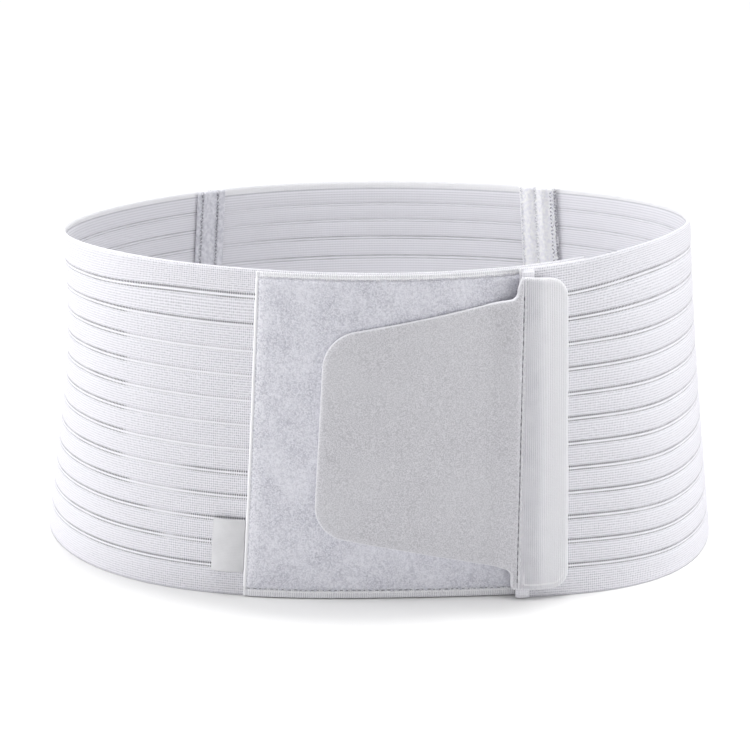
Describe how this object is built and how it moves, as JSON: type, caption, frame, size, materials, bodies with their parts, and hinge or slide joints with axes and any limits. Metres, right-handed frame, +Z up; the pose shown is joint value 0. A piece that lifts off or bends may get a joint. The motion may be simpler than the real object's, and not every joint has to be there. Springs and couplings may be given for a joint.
{
  "type": "hernia belt",
  "caption": "Elastic abdominal support belt: a ribbed webbing loop, closed in front by a felt flap on a velour panel, standing on its lower rim.",
  "frame": {"origin": "under the middle of the whole belt, on the surface that its lower rim rests on", "axes": "+Z up, from the lower rim to the upper rim; the closure faces -Y; +X is towards the side band that carries the closure"},
  "size_m": [0.3552, 0.2632, 0.16],
  "materials": {
    "webbing": "matte openwork knit",
    "velour": "matte looped pile",
    "felt": "matte fine felt",
    "corded_tape": "matte fine cords",
    "satin": "soft satin",
    "lining": "matte soft cloth",
    "plush_tape": "matte plush"
  },
  "bodies": {
    "root": {"left_band": "webbing", "right_band": "webbing", "back_band": "webbing", "velour_panel": "velour", "end_hem": "webbing", "closure_strip": "corded_tape", "closure_tab": "felt", "label_tab": "satin", "inner_patch": "lining", "left_seam_tape": "plush_tape", "right_seam_tape": "plush_tape"}
  },
  "joints": []
}
